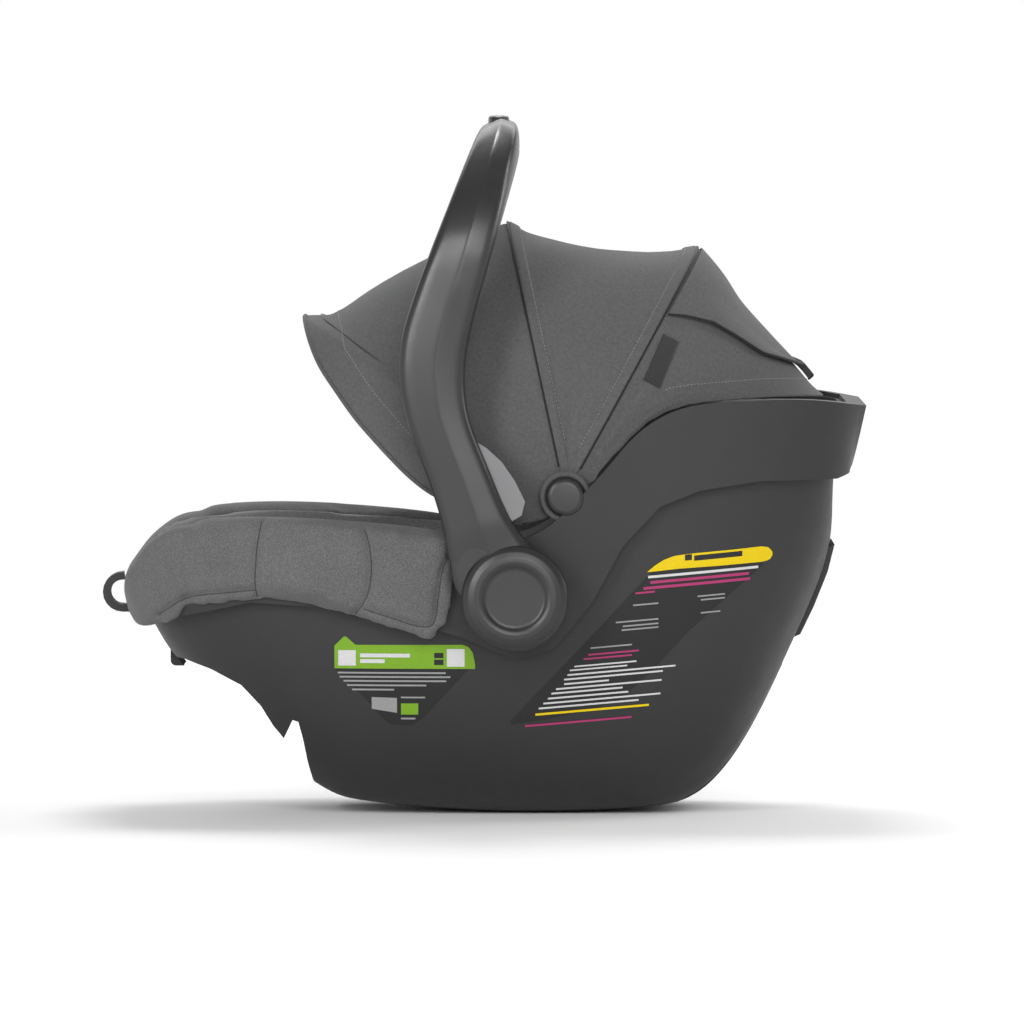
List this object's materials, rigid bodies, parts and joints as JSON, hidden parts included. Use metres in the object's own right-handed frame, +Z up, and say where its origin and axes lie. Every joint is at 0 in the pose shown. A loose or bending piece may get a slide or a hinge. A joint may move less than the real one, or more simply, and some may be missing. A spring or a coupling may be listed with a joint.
{
  "type": "infant car seat",
  "caption": "Rear-facing infant carrier with a swinging carry handle, folding canopy, padded cover, harness and base latch",
  "frame": {"origin": "on the floor, under the middle of the carrier's length and width with the handle upright", "axes": "+X towards the head end, +Y across the width, +Z up"},
  "size_m": [0.6704, 0.4396, 0.612],
  "materials": {
    "shell_plastic": "fine moulded grain, charcoal",
    "handle_plastic": "satin charcoal",
    "hub_plastic": "satin charcoal",
    "paddle_plastic": "satin mid grey",
    "cover_fabric": "heathered grey knit, padded",
    "pad_fabric": "heathered grey knit, padded",
    "canopy_fabric": "dark grey plain weave",
    "tag_fabric": "black satin label, blank",
    "foam": "bead foam",
    "bow_plastic": "black moulded",
    "webbing": "black webbing",
    "buckle_plastic": "black moulded",
    "button_red": "red moulded",
    "steel": "zinc plated",
    "bumper_rubber": "matte",
    "sticker_green": "printed film, green",
    "sticker_dark": "printed film, dark",
    "sticker_yellow": "printed film, yellow",
    "sticker_white": "printed film, white",
    "sticker_magenta": "printed film, magenta"
  },
  "bodies": {
    "carrier": {"shell": "shell_plastic", "foam_liner": "foam", "seat_pad": "pad_fabric", "seat_cover": "cover_fabric", "front_bumper": "bumper_rubber", "pull_loop": "webbing", "adjuster_body": "buckle_plastic", "crotch_strap": "webbing", "buckle_body": "buckle_plastic", "splitter_plate": "steel", "latch_brackets": "bow_plastic", "guide_sticker": "sticker_green", "caution_sticker": "sticker_dark", "pivot_post_near": "steel", "pivot_post_far": "steel", "lock_ring_near": "steel", "lock_ring_far": "steel", "pivot_screw_near": "steel", "pivot_screw_far": "steel", "canopy_pivot_near": "hub_plastic", "canopy_pivot_far": "hub_plastic", "shoulder_strap_near": "webbing", "shoulder_strap_far": "webbing", "shoulder_pad_near": "pad_fabric", "shoulder_pad_far": "pad_fabric", "hip_strap_near": "webbing", "hip_strap_far": "webbing", "buckle_tongue_near": "buckle_plastic", "buckle_tongue_far": "buckle_plastic", "chest_clip_near": "buckle_plastic", "chest_clip_far": "buckle_plastic"},
    "handle": {"handle_outer_shell": "handle_plastic", "handle_inner_shell": "handle_plastic", "hub_cap_near": "hub_plastic", "hub_cap_far": "hub_plastic"},
    "top_button": {"top_button": "hub_plastic"},
    "paddle_near": {"release_paddle_near": "paddle_plastic"},
    "paddle_far": {"release_paddle_far": "paddle_plastic"},
    "pawl_near": {"lock_pawl_near": "bow_plastic"},
    "pawl_far": {"lock_pawl_far": "bow_plastic"},
    "canopy_rear": {"bow_rear": "bow_plastic", "canopy_rear_panel": "canopy_fabric", "vent_flap": "canopy_fabric", "canopy_tag": "tag_fabric"},
    "canopy_mid": {"bow_mid": "bow_plastic", "canopy_mid_panel": "canopy_fabric"},
    "canopy_front": {"bow_front": "bow_plastic", "canopy_front_panel": "canopy_fabric"},
    "headrest": {"headrest_board": "bow_plastic", "headrest_pad": "pad_fabric"},
    "buckle_button": {"buckle_button": "button_red"},
    "adjuster_button": {"adjuster_button": "button_red"},
    "release_handle": {"release_handle": "shell_plastic"},
    "latch_hooks": {"latch_hooks": "steel"}
  },
  "joints": [
    {"name": "handle_swing", "type": "hinge", "parent": "carrier", "child": "handle", "pos_m": [0.028, 0, 0.1965], "axis": [0, 1, 0], "range_deg": [0, 121]},
    {"name": "handle_button_press", "type": "slide", "parent": "handle", "child": "top_button", "axis": [0, 0, -1], "range_m": [0, 0.004], "stiffness_N_per_m": 1000, "springref_m": -0.001},
    {"name": "handle_paddle_near", "type": "slide", "parent": "handle", "child": "paddle_near", "axis": [-0.933, 0, -0.36], "range_m": [0, 0.005], "stiffness_N_per_m": 1200, "springref_m": -0.001},
    {"name": "handle_paddle_far", "type": "slide", "parent": "handle", "child": "paddle_far", "axis": [-0.933, 0, -0.36], "range_m": [0, 0.005], "stiffness_N_per_m": 1200, "springref_m": -0.001},
    {"name": "lock_pawl_lift_near", "type": "slide", "parent": "handle", "child": "pawl_near", "axis": [0, 0, 1], "range_m": [0, 0.005]},
    {"name": "lock_pawl_lift_far", "type": "slide", "parent": "handle", "child": "pawl_far", "axis": [0, 0, 1], "range_m": [0, 0.005]},
    {"name": "canopy_rear_swing", "type": "hinge", "parent": "carrier", "child": "canopy_rear", "pos_m": [0.072, 0, 0.283], "axis": [0, 1, 0], "range_deg": [0, 16.2], "deforming": ["canopy_rear_panel", "vent_flap", "canopy_tag"]},
    {"name": "canopy_mid_swing", "type": "hinge", "parent": "canopy_rear", "child": "canopy_mid", "pos_m": [0.072, 0, 0.283], "axis": [0, 1, 0], "range_deg": [0, 34.5], "deforming": ["canopy_mid_panel"]},
    {"name": "canopy_fold", "type": "hinge", "parent": "canopy_mid", "child": "canopy_front", "pos_m": [0.072, 0, 0.283], "axis": [0, 1, 0], "range_deg": [0, 35], "deforming": ["canopy_front_panel"]},
    {"name": "headrest_height", "type": "slide", "parent": "carrier", "child": "headrest", "axis": [0.7258, 0, 0.6879], "range_m": [0, 0.045]},
    {"name": "buckle_button_press", "type": "slide", "parent": "carrier", "child": "buckle_button", "axis": [0.4226, 0, -0.9063], "range_m": [0, 0.0022], "stiffness_N_per_m": 1500, "springref_m": -0.0005},
    {"name": "adjuster_button_press", "type": "slide", "parent": "carrier", "child": "adjuster_button", "axis": [-0.3714, 0, -0.9285], "range_m": [0, 0.0014], "stiffness_N_per_m": 1500, "springref_m": -0.0005},
    {"name": "base_release_pull", "type": "slide", "parent": "carrier", "child": "release_handle", "axis": [0.9302, 0, -0.3671], "range_m": [0, 0.008], "stiffness_N_per_m": 900, "springref_m": -0.003},
    {"name": "latch_hooks_turn", "type": "hinge", "parent": "carrier", "child": "latch_hooks", "pos_m": [0.196, 0, 0.1], "axis": [0, 1, 0], "range_deg": [-12.2, 0]}
  ],
  "couplings": [
    {"joint": "lock_pawl_lift_near", "follows": "handle_paddle_near", "ratio": 1},
    {"joint": "lock_pawl_lift_far", "follows": "handle_paddle_far", "ratio": 1},
    {"joint": "canopy_mid_swing", "follows": "canopy_fold", "ratio": 0.9714},
    {"joint": "canopy_rear_swing", "follows": "canopy_fold", "ratio": 0.4571},
    {"joint": "latch_hooks_turn", "follows": "base_release_pull", "rad_per_m": -26.18}
  ]
}
